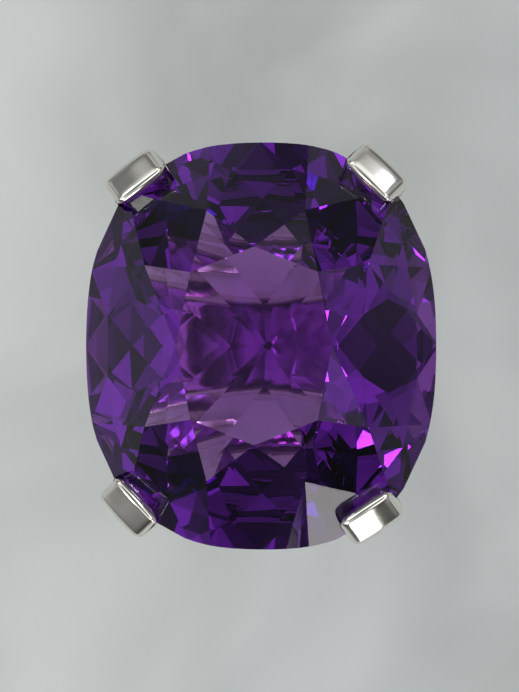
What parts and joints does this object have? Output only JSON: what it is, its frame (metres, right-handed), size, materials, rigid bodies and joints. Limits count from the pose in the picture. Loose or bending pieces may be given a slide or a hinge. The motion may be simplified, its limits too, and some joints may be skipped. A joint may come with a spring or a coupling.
{
  "type": "cocktail ring",
  "caption": "Cocktail ring: an elongated cushion-cut amethyst held by broad folded claws in an open basket on a narrow split-shouldered shank.",
  "frame": {"origin": "centre of the finger hole", "axes": "+Y along the finger and the stone's long side, +Z out of the finger hole towards the stone, X across the finger"},
  "size_m": [0.0192, 0.022, 0.0311],
  "materials": {
    "amethyst": "polished facets, deep violet, transparent",
    "white_metal": "polished, rhodium-plated white gold"
  },
  "bodies": {
    "root": {"amethyst": "amethyst", "claw_front_left": "white_metal", "claw_front_right": "white_metal", "claw_back_left": "white_metal", "claw_back_right": "white_metal", "upper_gallery_rail": "white_metal", "lower_gallery_rail": "white_metal", "under_bezel": "white_metal", "shank": "white_metal", "shank_bridge": "white_metal", "shoulder_front_left": "white_metal", "shoulder_front_right": "white_metal", "shoulder_back_left": "white_metal", "shoulder_back_right": "white_metal"}
  },
  "joints": []
}
